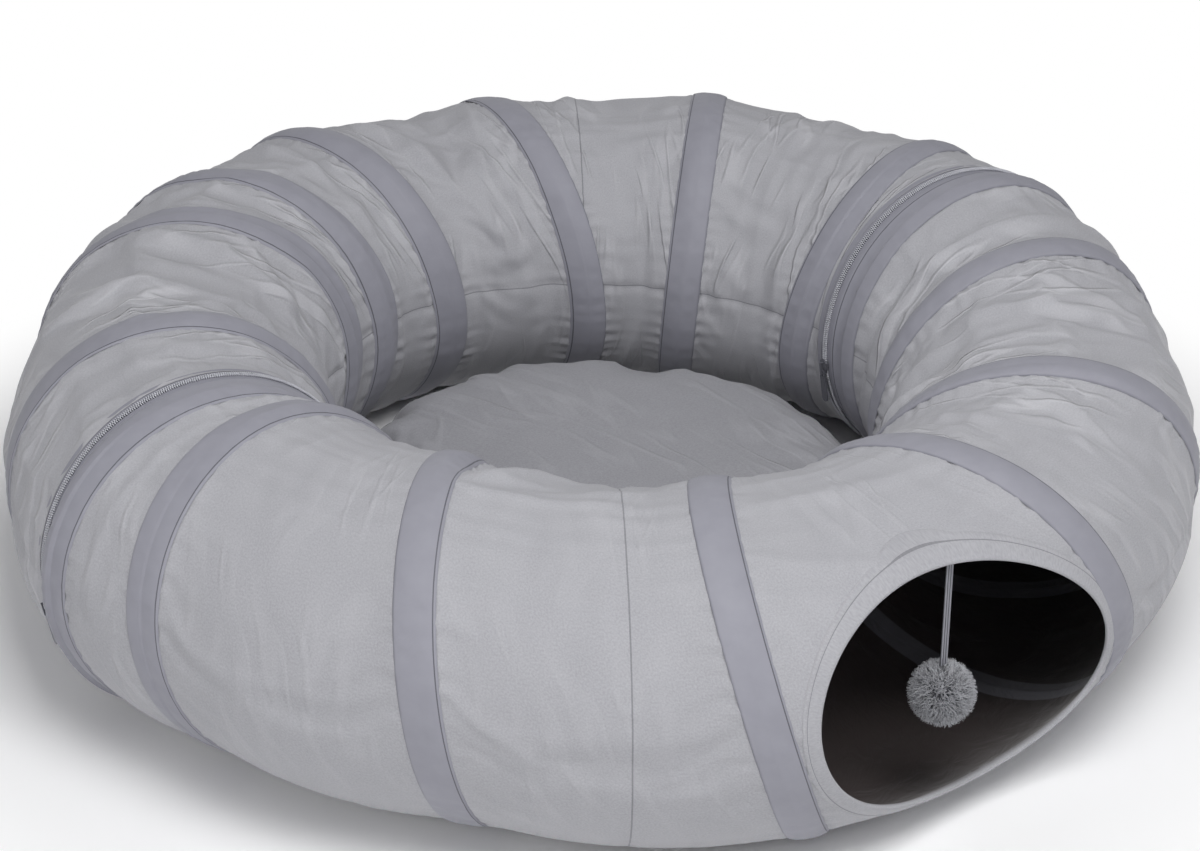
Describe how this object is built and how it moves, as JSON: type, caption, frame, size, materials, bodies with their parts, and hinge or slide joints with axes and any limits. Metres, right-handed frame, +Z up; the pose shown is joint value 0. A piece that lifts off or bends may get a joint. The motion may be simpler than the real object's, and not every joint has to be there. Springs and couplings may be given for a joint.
{
  "type": "cat tunnel",
  "caption": "Ring-shaped fabric cat tunnel on sprung hoops, in two halves zipped end to end, with an oval side door, a hanging pompom toy and a loose round cushion in the middle.",
  "frame": {"origin": "centre of the ring on the floor, on the flat underside of the round cushion", "axes": "+Z up, the two zips on the X axis, the doorway towards -Y, the rear half comes away towards +Y"},
  "size_m": [0.9824, 0.9712, 0.2653],
  "materials": {
    "cover": "light grey brushed suede cloth",
    "cushion_cover": "light grey brushed suede cloth over soft filling",
    "casing": "smooth blue-grey woven tape",
    "wire": "round spring wire",
    "lining": "dark brown-black lining cloth",
    "zip_tape": "dark grey woven zip tape with grey coil teeth",
    "zip_metal": "satin grey painted zinc",
    "elastic": "ribbed grey elastic",
    "plush": "short grey plush"
  },
  "bodies": {
    "front_half": {"front_panel_1": "cover", "front_panel_2": "cover", "front_panel_3": "cover", "front_panel_4": "cover", "front_panel_5": "cover", "front_panel_6": "cover", "front_panel_7": "cover", "front_band_1": "casing", "front_band_2": "casing", "front_band_3": "casing", "front_band_4": "casing", "front_band_5": "casing", "front_band_6": "casing", "front_band_7": "casing", "front_band_8": "casing", "front_hoop_1": "wire", "front_hoop_2": "wire", "front_hoop_3": "wire", "front_hoop_4": "wire", "front_hoop_5": "wire", "front_hoop_6": "wire", "front_hoop_7": "wire", "front_hoop_8": "wire", "front_lining": "lining", "door_facing": "cover", "left_zip_front_tape": "zip_tape", "right_zip_front_tape": "zip_tape"},
    "rear_half": {"rear_panel_1": "cover", "rear_panel_2": "cover", "rear_panel_3": "cover", "rear_panel_4": "cover", "rear_panel_5": "cover", "rear_panel_6": "cover", "rear_panel_7": "cover", "rear_panel_8": "cover", "rear_band_1": "casing", "rear_band_2": "casing", "rear_band_3": "casing", "rear_band_4": "casing", "rear_band_5": "casing", "rear_band_6": "casing", "rear_band_7": "casing", "rear_hoop_1": "wire", "rear_hoop_2": "wire", "rear_hoop_3": "wire", "rear_hoop_4": "wire", "rear_hoop_5": "wire", "rear_hoop_6": "wire", "rear_hoop_7": "wire", "rear_lining": "lining", "left_zip_rear_tape": "zip_tape", "right_zip_rear_tape": "zip_tape"},
    "cushion": {"mat": "cushion_cover"},
    "left_slider": {"left_zip_slider": "zip_metal"},
    "left_puller": {"left_zip_puller": "zip_metal"},
    "right_slider": {"right_zip_slider": "zip_metal"},
    "right_puller": {"right_zip_puller": "zip_metal"},
    "strap": {"toy_strap": "elastic"},
    "pompom": {"toy_pompom": "plush"}
  },
  "joints": [
    {"name": "rear_half_pull", "type": "slide", "parent": "front_half", "child": "rear_half", "axis": [0, 1, 0], "range_m": [0, 0.4]},
    {"name": "cushion_lift", "type": "slide", "parent": "front_half", "child": "cushion", "axis": [0, 0, 1], "range_m": [0, 0.3]},
    {"name": "left_slider_run", "type": "hinge", "parent": "front_half", "child": "left_slider", "pos_m": [-0.357, 0, 0.13265], "axis": [0, 1, 0], "range_deg": [-40, 240]},
    {"name": "left_puller_swing", "type": "hinge", "parent": "left_slider", "child": "left_puller", "pos_m": [-0.48907, 0, 0.1054], "axis": [0, 1, 0], "range_deg": [0, 120]},
    {"name": "right_slider_run", "type": "hinge", "parent": "front_half", "child": "right_slider", "pos_m": [0.357, 0, 0.13265], "axis": [0, -1, 0], "range_deg": [-238, 42]},
    {"name": "right_puller_swing", "type": "hinge", "parent": "right_slider", "child": "right_puller", "pos_m": [0.22405, 0, 0.11002], "axis": [0, 1, 0], "range_deg": [0, 120]},
    {"name": "strap_swing", "type": "hinge", "parent": "front_half", "child": "strap", "pos_m": [0.00779, -0.44626, 0.22028], "axis": [0.9998, 0.0174, 0], "range_deg": [-30, 30]},
    {"name": "pompom_swing", "type": "hinge", "parent": "strap", "child": "pompom", "pos_m": [0.00779, -0.44626, 0.13628], "axis": [0.9998, 0.0174, 0], "range_deg": [-30, 30]}
  ]
}
